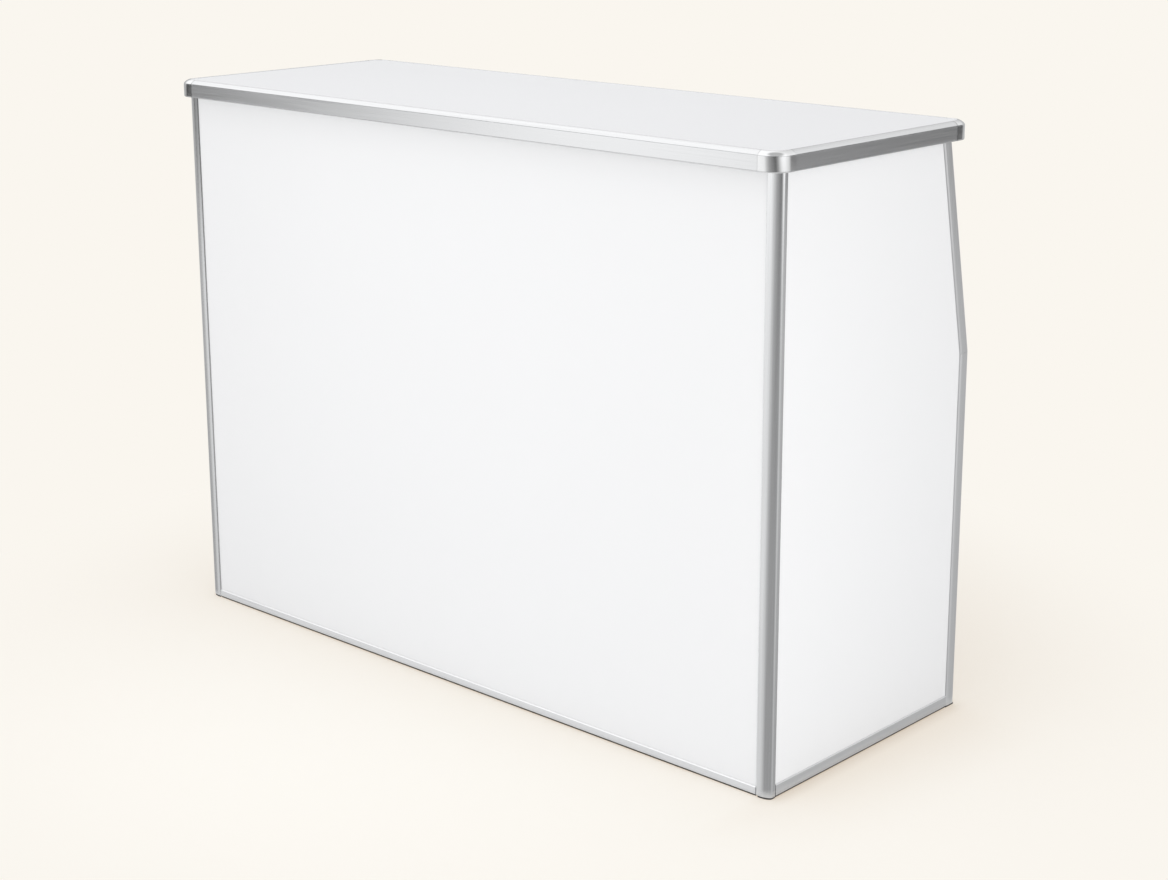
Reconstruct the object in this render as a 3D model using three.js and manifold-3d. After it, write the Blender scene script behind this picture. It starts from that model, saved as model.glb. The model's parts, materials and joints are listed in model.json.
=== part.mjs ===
// Folding portable bar: a white front panel with two hinged wings, a lift-off bar top in a
// metal rim, and two shelves that fold up flat against the back of the front panel.
// Millimetres, +Z up. The front faces -Y, and the origin is on the floor under the middle.

import * as THREE from 'three';
import { mergeVertices } from 'three/addons/utils/BufferGeometryUtils.js';
import Module from 'manifold-3d';

const wasm = await Module();
wasm.setup();

// Overall sizes
const topWidth = 1478;
const topDepth = 528;
const overallHeight = 1067;
const sideOverhang = 9;
const frontOverhang = 18;
const wingDepth = 545;
const wingTopSetback = 60;
const bendHeight = 660;

// Frame extrusions of the three panels
const frameThickness = 20;
const frameWall = 2;
const postWidth = 28;
const postDepth = 18;
const postNoseWidth = 20;
const postNoseDepth = 10;
const postGroove = 13;
const wingStileWidth = 24;
const rearStileWidth = 26;
const rearStileRound = 6;
const rearStileCrown = 0.2;
const frontBottomRailHeight = 14;
const wingBottomRailHeight = 20;
const topRailHeight = 24;
const crossRailHeight = 30;
const grooveSeat = 3;
const rearGrooveDepth = 13;
const faceBevel = 1.5;
const rearStepWidth = 1.2;
const rearBevelWidth = 3.3;
const rearBevelDepth = 0.9;
const edgeBreak = 0.8;
const sheetThickness = 4;

// Bar top
const rimHeight = 33;
const rimFaceHeight = 25;
const rimDepth = 40;
const rimBoxHeight = 13.7;
const lipWidth = 12;
const lipFlat = 2;
const lipRise = 1;
const lipGrooveWidth = 1.2;
const lipGrooveDepth = 0.9;
const rimEdgeRound = 2.5;
const rimCornerRadius = 30;
const cornerLeg = 12;
const cornerDepth = 26;
const cornerProud = 0.4;
const pegRadius = 4;
const pegClearance = 2;
const pegHeadRadius = 6;
const pegHeadHeight = 2.5;
const pegInset = 210;

// Feet under the posts and stiles
const footHeight = 3;
const footInset = 0.8;
const footPlugHeight = 14;
const postFootSetback = 4;
const footPadRadius = 6;
const footStudRadius = 3;
const footStudHeight = 6;

// Hinges
const knuckleRadius = 4;
const leafThickness = 2;
const hingePinRadius = 2;
const knuckleGap = 0.8;
const wingKnuckles = 15;
const wingHingeEndGap = 12;
const shelfKnuckles = 11;
const shelfHingeEndGap = 40;
const shelfLeafReach = 24;

// Folding shelves
const workShelfHeight = 700;
const lowerShelfHeight = 170;
const shelfThickness = 12;
const shelfEndGap = 11;
const shelfHeadroom = 12;
const shelfCornerRadius = 6;
const trimWall = 1.2;
const trimDepth = 14;
const cleatBearing = 9;
const cleatThickness = 3;
const cleatDrop = 20;
const cleatSetback = 50;
const cleatEndGap = 3;
const cleatRailRise = 5;

// Clearances
const seatGap = 0.3;
const runGap = 0.4;
const panelSeam = 0.8;
const cornerSeam = 0.6;
const foldClearance = 2.4;
const swingClearance = 2;
const weldLap = 1;

// Facets on the round forms
const boreSides = 16;
const pinSides = 12;
const knuckleSegments = 5;
const postSegments = 14;
const stileSegments = 10;
const rimSegments = 8;
const boardSegments = 6;
const cornerSteps = 10;

// Planes and lines that the pieces share
const bodyHalf = topWidth / 2 - sideOverhang;
const innerHalf = bodyHalf - frameThickness;
const frontFace = -(frontOverhang + wingDepth) / 2 + frontOverhang;
const rimBottom = overallHeight - rimHeight;
const panelTop = rimBottom - runGap;
const sheetFace = frameWall + seatGap;
const sheetBack = sheetFace + sheetThickness;
const boxFace = sheetBack + seatGap;
const pegLength = topRailHeight - frameWall - pegClearance;
const pegX = innerHalf - pegInset;

// A shelf folded up stands behind the front sheet, with its hinge on the cross rail's back
const shelfFront = frontFace + sheetBack + seatGap + trimWall + seatGap;
const shelfBack = shelfFront + shelfThickness;
const shelfAxisY = shelfBack + seatGap + knuckleRadius;
const shelfLift = knuckleRadius + seatGap;
const shelfSetback = shelfLift + swingClearance;
const shelfHalf = innerHalf - shelfEndGap;

// The wing hinge stands on the inner faces of post and wing. Its axis lies behind the seam
// between them, so a wing folds in flat behind the shelves.
const wingAxisX = innerHalf - seatGap - knuckleRadius;
const wingAxisY = shelfAxisY + foldClearance - seatGap;
const wingFront = frontFace + postDepth + panelSeam;
const wingRear = frontFace + wingDepth;
const wingTopRear = frontFace + topDepth - wingTopSetback;

// The cleats end short of the edge trim on the work shelf, and the hinges on the shelves end
// short of the cleats on a folded wing
const workShelfTop = shelfTop(panelTop - topRailHeight);
const cleatStart = wingAxisY + cleatSetback;
const cleatEnd = shelfAxisY + workShelfTop - workShelfHeight - trimDepth - cleatEndGap;
const shelfHingeHalf = wingAxisX - (cleatEnd - wingAxisY) - shelfHingeEndGap;

const axisX = new THREE.Vector3(1, 0, 0);
const axisY = new THREE.Vector3(0, 1, 0);
const axisZ = new THREE.Vector3(0, 0, 1);
const backX = axisX.clone().negate();
const backY = axisY.clone().negate();
const backZ = axisZ.clone().negate();

const finish = (color, roughness, metalness) =>
  new THREE.MeshStandardMaterial({ color, roughness, metalness });
const whiteSheet = finish(0xf2f3f4, 0.45, 0);
const whiteTop = finish(0xf0f1f3, 0.3, 0);
const brushedAluminium = finish(0xb4b5b7, 0.35, 1);
const satinCorner = finish(0xc6c7c9, 0.22, 1);
const millAluminium = finish(0xc0c2c4, 0.4, 1);
const hingeSteel = finish(0xa9acb0, 0.3, 1);
const blackRubber = finish(0x17181a, 0.7, 0);

// Faces point outwards after a sweep, a turn or a mirror
function outward(geometry) {
  const flat = geometry.index ? geometry.toNonIndexed() : geometry;
  const position = flat.getAttribute('position');
  const corner = [new THREE.Vector3(), new THREE.Vector3(), new THREE.Vector3()];
  let volume = 0;
  for (let i = 0; i < position.count; i += 3) {
    corner.forEach((vertex, k) => vertex.fromBufferAttribute(position, i + k));
    volume += corner[0].dot(corner[1].clone().cross(corner[2]));
  }
  if (volume < 0) {
    for (let i = 0; i < position.count; i += 3) {
      const first = new THREE.Vector3().fromBufferAttribute(position, i);
      const last = new THREE.Vector3().fromBufferAttribute(position, i + 2);
      position.setXYZ(i, last.x, last.y, last.z);
      position.setXYZ(i + 2, first.x, first.y, first.z);
    }
  }
  flat.computeVertexNormals();
  return flat;
}

function mirrored(geometry) {
  return outward(geometry.clone().scale(-1, 1, 1));
}

// A section drawn in (a, b) is carried through a row of stations, each with its own axes
function sweep(section, stations, curveSegments = 1) {
  const steps = stations.length - 1;
  const options = { depth: steps, steps, bevelEnabled: false, curveSegments };
  const geometry = new THREE.ExtrudeGeometry(section, options);
  const position = geometry.getAttribute('position');
  const vertex = new THREE.Vector3();
  for (let i = 0; i < position.count; i += 1) {
    const { at, a, b } = stations[Math.round(position.getZ(i))];
    vertex.copy(at).addScaledVector(a, position.getX(i)).addScaledVector(b, position.getY(i));
    position.setXYZ(i, vertex.x, vertex.y, vertex.z);
  }
  return outward(geometry);
}

function bar(section, from, to, a, b, curveSegments) {
  return sweep(section, [{ at: from, a, b }, { at: to, a, b }], curveSegments);
}

// The end of a bar that is sawn off by a slanted plane
function cutEnd(at, a, b, along, planePoint, planeNormal) {
  const slope = along.dot(planeNormal);
  const slide = (vector, distance) => vector.clone().addScaledVector(along, -distance / slope);
  return {
    at: slide(at, at.clone().sub(planePoint).dot(planeNormal)),
    a: slide(a, a.dot(planeNormal)),
    b: slide(b, b.dot(planeNormal)),
  };
}

function point(x, y, z) {
  return new THREE.Vector3(x, y, z);
}

function outline(points) {
  return new THREE.Shape(points.map(([a, b]) => new THREE.Vector2(a, b)));
}

function rectangle(a0, b0, a1, b1) {
  return outline([[a0, b0], [a1, b0], [a1, b1], [a0, b1]]);
}

function roundedRectangle(a0, b0, a1, b1, radius) {
  const shape = new THREE.Shape();
  shape.moveTo(a0 + radius, b0);
  shape.lineTo(a1 - radius, b0);
  shape.absarc(a1 - radius, b0 + radius, radius, -Math.PI / 2, 0, false);
  shape.lineTo(a1, b1 - radius);
  shape.absarc(a1 - radius, b1 - radius, radius, 0, Math.PI / 2, false);
  shape.lineTo(a0 + radius, b1);
  shape.absarc(a0 + radius, b1 - radius, radius, Math.PI / 2, Math.PI, false);
  shape.lineTo(a0, b0 + radius);
  shape.absarc(a0 + radius, b0 + radius, radius, Math.PI, Math.PI * 1.5, false);
  return shape;
}

function toSolid(geometry) {
  const bare = geometry.clone();
  bare.deleteAttribute('normal');
  bare.deleteAttribute('uv');
  const merged = mergeVertices(bare, 1e-4);
  return new wasm.Manifold(new wasm.Mesh({
    numProp: 3,
    vertProperties: new Float32Array(merged.getAttribute('position').array),
    triVerts: new Uint32Array(merged.index.array),
  }));
}

function fromSolid(solid) {
  const mesh = solid.getMesh();
  const geometry = new THREE.BufferGeometry();
  geometry.setAttribute('position', new THREE.BufferAttribute(mesh.vertProperties, 3));
  geometry.setIndex(new THREE.BufferAttribute(mesh.triVerts, 1));
  return outward(geometry);
}

function joined(geometries) {
  return fromSolid(geometries.map(toSolid).reduce((whole, next) => whole.add(next)));
}

function drilled(geometry, drills) {
  const whole = toSolid(geometry);
  return fromSolid(drills.map(toSolid).reduce((rest, drill) => rest.subtract(drill), whole));
}

function upright(radius, bottom, height, x, y) {
  const cylinder = new THREE.CylinderGeometry(radius, radius, height, boreSides);
  return outward(cylinder.rotateX(Math.PI / 2).translate(x, y, bottom + height / 2));
}

// Frame sections: a runs across the visible face, b runs in from that face

function channelSection(width) {
  const section = outline([
    [edgeBreak, 0],
    [width - faceBevel, 0],
    [width, faceBevel],
    [width, frameWall],
    [grooveSeat, frameWall],
    [grooveSeat, boxFace],
    [width, boxFace],
    [width, frameThickness],
    [0, frameThickness],
    [0, edgeBreak],
  ]);
  section.holes.push(channelBore(width));
  return section;
}

function channelBore(width, clearance = 0) {
  const wall = frameWall + clearance;
  return rectangle(wall, boxFace + wall, width - wall, frameThickness - wall);
}

function boxSection(width, depth) {
  const section = rectangle(0, boxFace, width, depth);
  section.holes.push(rectangle(frameWall, boxFace + frameWall, width - frameWall, depth - frameWall));
  return section;
}

// The post's nose is a quarter of an ellipse, longer on the front than on the side
function addNose(section, inset) {
  const width = postNoseWidth - inset;
  const depth = postNoseDepth - inset;
  section.lineTo(postNoseWidth, inset);
  section.absellipse(postNoseWidth, postNoseDepth, width, depth, -Math.PI / 2, Math.PI, true);
}

function postSection() {
  const section = new THREE.Shape();
  section.moveTo(postWidth, frameWall);
  section.lineTo(postWidth, faceBevel);
  section.lineTo(postWidth - faceBevel, 0);
  addNose(section, 0);
  section.lineTo(0, postDepth - faceBevel);
  section.lineTo(faceBevel, postDepth);
  section.lineTo(frameThickness, postDepth);
  section.lineTo(frameThickness, boxFace);
  section.lineTo(postGroove, boxFace);
  section.lineTo(postGroove, frameWall);
  section.holes.push(postBore());
  return section;
}

function postBore(clearance = 0) {
  const wall = frameWall + clearance;
  return rectangle(wall, boxFace + wall, frameThickness - wall, postDepth - wall);
}

function postFootSection() {
  const section = new THREE.Shape();
  section.moveTo(postWidth - postFootSetback, footInset);
  addNose(section, footInset);
  section.lineTo(footInset, postDepth - footInset);
  section.lineTo(postWidth - postFootSetback, postDepth - footInset);
  return section;
}

function rearStileSection() {
  const seat = rearStileWidth - rearGrooveDepth;
  const strip = rearStileWidth - rearStepWidth - rearBevelWidth;
  const section = new THREE.Shape();
  section.moveTo(0, frameThickness - edgeBreak);
  section.lineTo(0, rearStileRound);
  section.absarc(rearStileRound, rearStileRound, rearStileRound, Math.PI, Math.PI * 1.5, false);
  section.quadraticCurveTo((rearStileRound + strip) / 2, -2 * rearStileCrown, strip, 0);
  section.lineTo(rearStileWidth - rearStepWidth, rearBevelDepth);
  section.lineTo(rearStileWidth, frameWall);
  section.lineTo(seat, frameWall);
  section.lineTo(seat, boxFace);
  section.lineTo(rearStileWidth, boxFace);
  section.lineTo(rearStileWidth, frameThickness);
  section.lineTo(edgeBreak, frameThickness);
  section.holes.push(channelBore(rearStileWidth));
  return section;
}

// The rim: d runs in from the outer face, h runs up from the underside
function rimOutline(depth, lip) {
  const section = new THREE.Shape();
  section.moveTo(rimEdgeRound, 0);
  section.lineTo(depth, 0);
  section.lineTo(depth, rimBoxHeight);
  section.lineTo(lip, rimBoxHeight);
  section.lineTo(lip, rimHeight - lipRise / 2);
  section.lineTo(lip - lipRise / 2, rimHeight);
  section.lineTo(lip - lipFlat, rimHeight);
  const shoulder = (rimHeight + rimFaceHeight) / 2 + lipFlat;
  section.quadraticCurveTo(lip / 3, shoulder, edgeBreak / 2, rimFaceHeight + lipGrooveWidth);
  section.lineTo(lipGrooveDepth, rimFaceHeight + lipGrooveWidth / 2);
  section.lineTo(0, rimFaceHeight);
  section.lineTo(0, rimEdgeRound);
  section.quadraticCurveTo(0, 0, rimEdgeRound, 0);
  return section;
}

function rimSection() {
  const section = rimOutline(rimDepth, lipWidth);
  const boxTop = rimBoxHeight - frameWall;
  section.holes.push(rectangle(frameWall, frameWall, rimDepth - frameWall, boxTop));
  section.holes.push(rectangle(frameWall, rimBoxHeight, lipWidth - frameWall, rimFaceHeight - frameWall));
  return section;
}

// A continuous hinge: its axis runs along local Z, the leaf reaches out along local X
function hingeLeaf(length, count, parity, reach) {
  const plateStart = knuckleRadius + runGap;
  const plateFace = -knuckleRadius + leafThickness;
  const pitch = length / count;
  const eye = new THREE.Shape();
  eye.moveTo(plateStart + weldLap, -knuckleRadius);
  eye.lineTo(0, -knuckleRadius);
  eye.absarc(0, 0, knuckleRadius, -Math.PI / 2, Math.asin(plateFace / knuckleRadius), true);
  eye.lineTo(plateStart + weldLap, plateFace);
  const bore = new THREE.Path();
  bore.absarc(0, 0, hingePinRadius + seatGap, 0, Math.PI * 2, false);
  eye.holes.push(bore);
  const plate = rectangle(plateStart, -knuckleRadius, reach, plateFace);
  const pieces = [bar(plate, point(0, 0, 0), point(0, 0, length), axisX, axisY)];
  for (let i = parity; i < count; i += 2) {
    const low = point(0, 0, i * pitch + knuckleGap / 2);
    const high = point(0, 0, (i + 1) * pitch - knuckleGap / 2);
    pieces.push(bar(eye, low, high, axisX, axisY, knuckleSegments));
  }
  return joined(pieces);
}

function placed(geometry, at, localX, localY, localZ) {
  const turn = new THREE.Matrix4().makeBasis(localX, localY, localZ);
  return outward(geometry.clone().applyMatrix4(turn).translate(at.x, at.y, at.z));
}

function hingePin(length, at, along) {
  const pin = new THREE.CylinderGeometry(hingePinRadius, hingePinRadius, length, pinSides);
  const turn = new THREE.Quaternion().setFromUnitVectors(axisY, along);
  pin.translate(0, length / 2, 0).applyQuaternion(turn);
  return outward(pin.translate(at.x, at.y, at.z));
}

const folding = new THREE.Group();
folding.name = 'folding_portable_bar';

// Each moving group stands at its joint, so it can be turned or lifted there
function body(origin) {
  const group = new THREE.Group();
  group.position.copy(origin);
  folding.add(group);
  return group;
}

const frontPanel = body(point(0, 0, 0));
const rightWing = body(point(wingAxisX, wingAxisY, 0));
const leftWing = body(point(-wingAxisX, wingAxisY, 0));
const barTop = body(point(0, 0, rimBottom));
const workShelf = body(point(0, shelfAxisY, workShelfHeight));
const lowerShelf = body(point(0, shelfAxisY, lowerShelfHeight));

function addPiece(group, name, geometry, material) {
  const origin = group.position;
  const mesh = new THREE.Mesh(geometry.translate(-origin.x, -origin.y, -origin.z), material);
  mesh.name = name;
  group.add(mesh);
}

function addPair(rightGroup, leftGroup, name, geometry, material) {
  addPiece(leftGroup, `left_${name}`, mirrored(geometry), material);
  addPiece(rightGroup, `right_${name}`, geometry, material);
}

// Front panel: white sheet, corner posts, rails
function addFrontPanel() {
  const sheetHalf = bodyHalf - postGroove - seatGap;
  const sheetBottom = footHeight + grooveSeat + seatGap;
  const sheet = rectangle(-sheetHalf, sheetBottom, sheetHalf, panelTop);
  const sheetFrom = point(0, frontFace + sheetFace, 0);
  const sheetTo = point(0, frontFace + sheetBack, 0);
  addPiece(frontPanel, 'front_sheet', bar(sheet, sheetFrom, sheetTo, axisX, axisZ), whiteSheet);

  const postBottom = point(bodyHalf, frontFace, footHeight);
  const postTop = point(bodyHalf, frontFace, panelTop);
  const post = bar(postSection(), postBottom, postTop, backX, axisY, postSegments);
  addPair(frontPanel, frontPanel, 'corner_post', post, brushedAluminium);

  const bottomEnd = bodyHalf - postWidth - seatGap;
  const bottomLeft = point(-bottomEnd, frontFace, footHeight);
  const bottomRight = point(bottomEnd, frontFace, footHeight);
  const channel = channelSection(frontBottomRailHeight);
  const bottomRail = bar(channel, bottomLeft, bottomRight, axisZ, axisY);
  addPiece(frontPanel, 'front_bottom_rail', bottomRail, brushedAluminium);

  const topEnd = innerHalf - seatGap;
  const topLeft = point(-topEnd, frontFace, panelTop);
  const topRight = point(topEnd, frontFace, panelTop);
  const topRail = bar(boxSection(topRailHeight, frameThickness), topLeft, topRight, backZ, axisY);
  addPiece(frontPanel, 'front_top_rail', drilled(topRail, pegDrills(panelTop)), millAluminium);
}

// The pegs of the bar top drop into holes along the middle of the front top rail
const pegLine = frontFace + (boxFace + frameThickness) / 2;

function pegDrills(height) {
  const bottom = height - 2 * frameWall;
  return [-pegX, pegX].map((x) => upright(pegRadius + runGap, bottom, 4 * frameWall, x, pegLine));
}

function crossRailTop(shelfHeight) {
  return shelfHeight - knuckleRadius - swingClearance;
}

// Cross rails stop at the hinge leaves on the posts
function addCrossRail(name, shelfHeight) {
  const railTop = crossRailTop(shelfHeight);
  const railEnd = innerHalf - leafThickness - 2 * seatGap;
  const section = boxSection(crossRailHeight, shelfBack - frontFace);
  const left = point(-railEnd, frontFace, railTop);
  const right = point(railEnd, frontFace, railTop);
  addPiece(frontPanel, name, bar(section, left, right, backZ, axisY), millAluminium);
}

function capFoot(capSection, plugSection, at, a, b) {
  const lift = (height) => point(at.x, at.y, height);
  const capTop = footHeight - seatGap;
  const cap = bar(capSection, lift(0), lift(capTop), a, b, postSegments);
  const plug = bar(plugSection, lift(capTop - weldLap), lift(capTop + footPlugHeight), a, b);
  return joined([cap, plug]);
}

function addFeet() {
  const postAt = point(bodyHalf, frontFace, 0);
  const postFoot = capFoot(postFootSection(), postBore(seatGap), postAt, backX, axisY);
  addPair(frontPanel, frontPanel, 'post_foot', postFoot, blackRubber);

  const capEnd = rearStileWidth - footInset;
  const rearCap = rectangle(footInset, footInset, capEnd, frameThickness - footInset);
  const rearAt = point(bodyHalf, wingRear, 0);
  const rearBore = channelBore(rearStileWidth, seatGap);
  const rearFoot = capFoot(rearCap, rearBore, rearAt, backY, backX);
  addPair(rightWing, leftWing, 'wing_rear_foot', rearFoot, blackRubber);

  const pad = wingFootForm(footPadRadius, 0, footHeight - seatGap);
  const stud = wingFootForm(footStudRadius, footHeight - seatGap - weldLap, footStudHeight);
  addPair(rightWing, leftWing, 'wing_front_foot', joined([pad, stud]), blackRubber);
}

// The pad, the stud and the stud's hole share one line through the wing's bottom rail
function wingFootForm(radius, bottom, height) {
  const x = bodyHalf - (boxFace + frameThickness) / 2;
  return upright(radius, bottom, height, x, wingFront + wingStileWidth / 2);
}

// Wings: the rear edge is upright below the bend and slants forward above it
const rearBottom = point(bodyHalf, wingRear, footHeight);
const rearBend = point(bodyHalf, wingRear, bendHeight);
const rearTop = point(bodyHalf, wingTopRear, panelTop);
const slant = rearTop.clone().sub(rearBend).normalize();
const slantIn = point(0, -slant.z, slant.y);
const mitre = slant.clone().add(axisZ).normalize();
const mitreIn = point(0, -mitre.z, mitre.y);
const behindStile = wingFront + wingStileWidth + seatGap;

// The bend of a line that runs inside the rear edge at a steady distance
function insideBend(distance) {
  return rearBend.clone().addScaledVector(mitreIn, distance / mitreIn.dot(slantIn));
}

function addWingStiles() {
  const frontBottom = point(bodyHalf, wingFront, footHeight + wingBottomRailHeight + seatGap);
  const frontTop = point(bodyHalf, wingFront, panelTop);
  const stileBox = boxSection(wingStileWidth, frameThickness);
  const frontStile = bar(stileBox, frontBottom, frontTop, axisY, backX);
  addPair(rightWing, leftWing, 'wing_front_stile', frontStile, millAluminium);

  const mitreLow = rearBend.clone().addScaledVector(mitre, -seatGap / 2);
  const rearStile = sweep(rearStileSection(), [
    { at: rearBottom, a: backY, b: backX },
    cutEnd(rearBottom, backY, backX, axisZ, mitreLow, mitre),
  ], stileSegments);
  addPair(rightWing, leftWing, 'wing_rear_stile', rearStile, brushedAluminium);

  const mitreHigh = rearBend.clone().addScaledVector(mitre, seatGap / 2);
  const slantedStile = sweep(rearStileSection(), [
    cutEnd(rearBend, slantIn, backX, slant, mitreHigh, mitre),
    cutEnd(rearBend, slantIn, backX, slant, rearTop, axisZ),
  ], stileSegments);
  addPair(rightWing, leftWing, 'wing_slanted_stile', slantedStile, brushedAluminium);
}

// A rail above the bend is sawn to the slant, and one below it or across it is sawn square
function wingRail(section, front, edge, across, height) {
  const from = point(bodyHalf, front, edge);
  const inside = insideBend(rearStileWidth + seatGap);
  const railTop = Math.max(edge, edge + across.z * height);
  const overBend = Math.max(0, railTop - inside.z);
  const squareEnd = point(0, inside.y + (slant.y / slant.z) * overBend, 0);
  const slanted = railTop - height >= inside.z;
  const planePoint = slanted ? inside : squareEnd;
  const planeNormal = slanted ? slantIn : backY;
  return sweep(section, [
    { at: from, a: across, b: backX },
    cutEnd(from, across, backX, axisY, planePoint, planeNormal),
  ]);
}

function addWingRails() {
  const channel = channelSection(wingBottomRailHeight);
  const bottomRail = wingRail(channel, wingFront, footHeight, axisZ, wingBottomRailHeight);
  const studHole = wingFootForm(footStudRadius + seatGap, footHeight - frameWall, 3 * frameWall);
  const drilledRail = drilled(bottomRail, [studHole]);
  addPair(rightWing, leftWing, 'wing_bottom_rail', drilledRail, brushedAluminium);

  const topBox = boxSection(topRailHeight, frameThickness);
  const topRail = wingRail(topBox, behindStile, panelTop, backZ, topRailHeight);
  addPair(rightWing, leftWing, 'wing_top_rail', topRail, millAluminium);

  const crossBox = boxSection(crossRailHeight, frameThickness);
  const upperEdge = cleatTop(workShelfHeight) + cleatRailRise;
  const upperRail = wingRail(crossBox, behindStile, upperEdge, backZ, crossRailHeight);
  addPair(rightWing, leftWing, 'wing_upper_rail', upperRail, millAluminium);
  const lowerEdge = cleatTop(lowerShelfHeight) + cleatRailRise;
  const lowerRail = wingRail(crossBox, behindStile, lowerEdge, backZ, crossRailHeight);
  addPair(rightWing, leftWing, 'wing_lower_rail', lowerRail, millAluminium);
}

function addWingSheets() {
  const sheetBend = insideBend(rearStileWidth - rearGrooveDepth + seatGap);
  const sheetBottom = footHeight + grooveSeat + seatGap;
  const topReach = (panelTop - sheetBend.z) / slant.z;
  const sheet = outline([
    [wingFront, sheetBottom],
    [sheetBend.y, sheetBottom],
    [sheetBend.y, sheetBend.z],
    [sheetBend.y + slant.y * topReach, panelTop],
    [wingFront, panelTop],
  ]);
  const from = point(bodyHalf - sheetFace, 0, 0);
  const to = point(bodyHalf - sheetBack, 0, 0);
  addPair(rightWing, leftWing, 'wing_sheet', bar(sheet, from, to, axisY, axisZ), whiteSheet);
}

function cleatTop(shelfHeight) {
  return shelfHeight + shelfLift - seatGap;
}

// Angle cleats on the wing rails, under the shelf ends
function addCleats(name, shelfHeight) {
  const width = shelfEndGap + cleatBearing;
  const angle = outline([
    [seatGap, 0],
    [width, 0],
    [width, -cleatThickness],
    [seatGap + cleatThickness, -cleatThickness],
    [seatGap + cleatThickness, -cleatDrop],
    [seatGap, -cleatDrop],
  ]);
  const height = cleatTop(shelfHeight);
  const from = point(innerHalf, cleatStart, height);
  const to = point(innerHalf, cleatEnd, height);
  addPair(rightWing, leftWing, name, bar(angle, from, to, backX, axisZ), millAluminium);
}

function addWingHinges() {
  const bottom = footHeight + wingBottomRailHeight + wingHingeEndGap;
  const length = panelTop - topRailHeight - wingHingeEndGap - bottom;
  const low = point(wingAxisX, wingAxisY, bottom);
  const postReach = wingAxisY - frontFace - boxFace - edgeBreak;
  const leafOnPost = hingeLeaf(length, wingKnuckles, 0, postReach);
  const postLeaf = placed(leafOnPost, low, backY, backX, axisZ);
  addPair(frontPanel, frontPanel, 'hinge_post_leaf', postLeaf, hingeSteel);
  const wingReach = wingFront + wingStileWidth - edgeBreak - wingAxisY;
  const leafOnWing = hingeLeaf(length, wingKnuckles, 1, wingReach);
  const wingLeaf = placed(leafOnWing, low, axisY, backX, axisZ);
  addPair(rightWing, leftWing, 'hinge_wing_leaf', wingLeaf, hingeSteel);
  addPair(frontPanel, frontPanel, 'hinge_pin', hingePin(length, low, axisZ), hingeSteel);
}

// A shelf's board stops under a rail, with room for its trim
function shelfTop(ceiling) {
  return ceiling - shelfHeadroom - trimWall - seatGap;
}

// A shelf is modelled folded up; it swings down and back about its hinge
function addShelf(group, name, height, ceiling) {
  const bottom = height + shelfSetback;
  const top = shelfTop(ceiling);
  const board = roundedRectangle(-shelfHalf, bottom, shelfHalf, top, shelfCornerRadius);
  const front = point(0, shelfFront, 0);
  const back = point(0, shelfBack, 0);
  addPiece(group, `${name}_board`, bar(board, front, back, axisX, axisZ, boardSegments), whiteSheet);

  const inner = seatGap + trimWall;
  const trim = outline([
    [-inner, -trimDepth],
    [-seatGap, -trimDepth],
    [-seatGap, seatGap],
    [shelfThickness + seatGap, seatGap],
    [shelfThickness + seatGap, -trimDepth],
    [shelfThickness + inner, -trimDepth],
    [shelfThickness + inner, inner],
    [-inner, inner],
  ]);
  const trimHalf = shelfHalf - shelfCornerRadius;
  const trimFrom = point(-trimHalf, shelfFront, top);
  const trimTo = point(trimHalf, shelfFront, top);
  addPiece(group, `${name}_edge_trim`, bar(trim, trimFrom, trimTo, axisY, axisZ), brushedAluminium);

  const hingeLength = 2 * shelfHingeHalf;
  const hingeAt = point(-shelfHingeHalf, shelfAxisY, height);
  const leafOnRail = hingeLeaf(hingeLength, shelfKnuckles, 0, shelfLeafReach);
  const railLeaf = placed(leafOnRail, hingeAt, backZ, axisY, axisX);
  addPiece(frontPanel, `${name}_rail_leaf`, railLeaf, hingeSteel);
  const leafOnBoard = hingeLeaf(hingeLength, shelfKnuckles, 1, shelfLeafReach);
  const boardLeaf = placed(leafOnBoard, hingeAt, axisZ, axisY, axisX);
  addPiece(group, `${name}_board_leaf`, boardLeaf, hingeSteel);
  addPiece(frontPanel, `${name}_hinge_pin`, hingePin(hingeLength, hingeAt, axisX), hingeSteel);
}

// Bar top: board in a rim of four rails and four corner pieces, with two pegs under it
function addBarTop() {
  const half = topWidth / 2;
  const front = frontFace - frontOverhang;
  const rear = front + topDepth;
  const inset = cornerProud + lipWidth + seatGap;
  const radius = rimCornerRadius - inset;
  const board = roundedRectangle(-half + inset, front + inset, half - inset, rear - inset, radius);
  const boardFrom = point(0, 0, rimBottom + rimBoxHeight + seatGap);
  const boardTo = point(0, 0, overallHeight - lipRise);
  const topBoard = bar(board, boardFrom, boardTo, axisX, axisY, boardSegments);
  addPiece(barTop, 'top_board', topBoard, whiteTop);

  const cornerReach = rimCornerRadius + cornerLeg;
  const railEnd = cornerReach + cornerSeam;
  const frontRail = rimRail(point(-half + railEnd, front, 0), point(half - railEnd, front, 0), axisY);
  const rearRail = rimRail(point(-half + railEnd, rear, 0), point(half - railEnd, rear, 0), backY);
  addPiece(barTop, 'top_front_rail', drilled(frontRail, pegDrills(rimBottom)), brushedAluminium);
  addPiece(barTop, 'top_rear_rail', rearRail, brushedAluminium);
  const sideRail = rimRail(point(half, front + railEnd, 0), point(half, rear - railEnd, 0), backX);
  addPair(barTop, barTop, 'top_rail', sideRail, brushedAluminium);

  addPair(barTop, barTop, 'front_top_corner', rimCorner(half, front, axisY), satinCorner);
  addPair(barTop, barTop, 'rear_top_corner', rimCorner(half, rear, backY), satinCorner);
  addPair(barTop, barTop, 'top_peg', topPeg(pegX, pegLine), hingeSteel);
}

function rimRail(from, to, inward) {
  const lift = (end) => end.clone().addScaledVector(inward, cornerProud).setZ(rimBottom);
  return bar(rimSection(), lift(from), lift(to), inward, axisZ, rimSegments);
}

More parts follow.
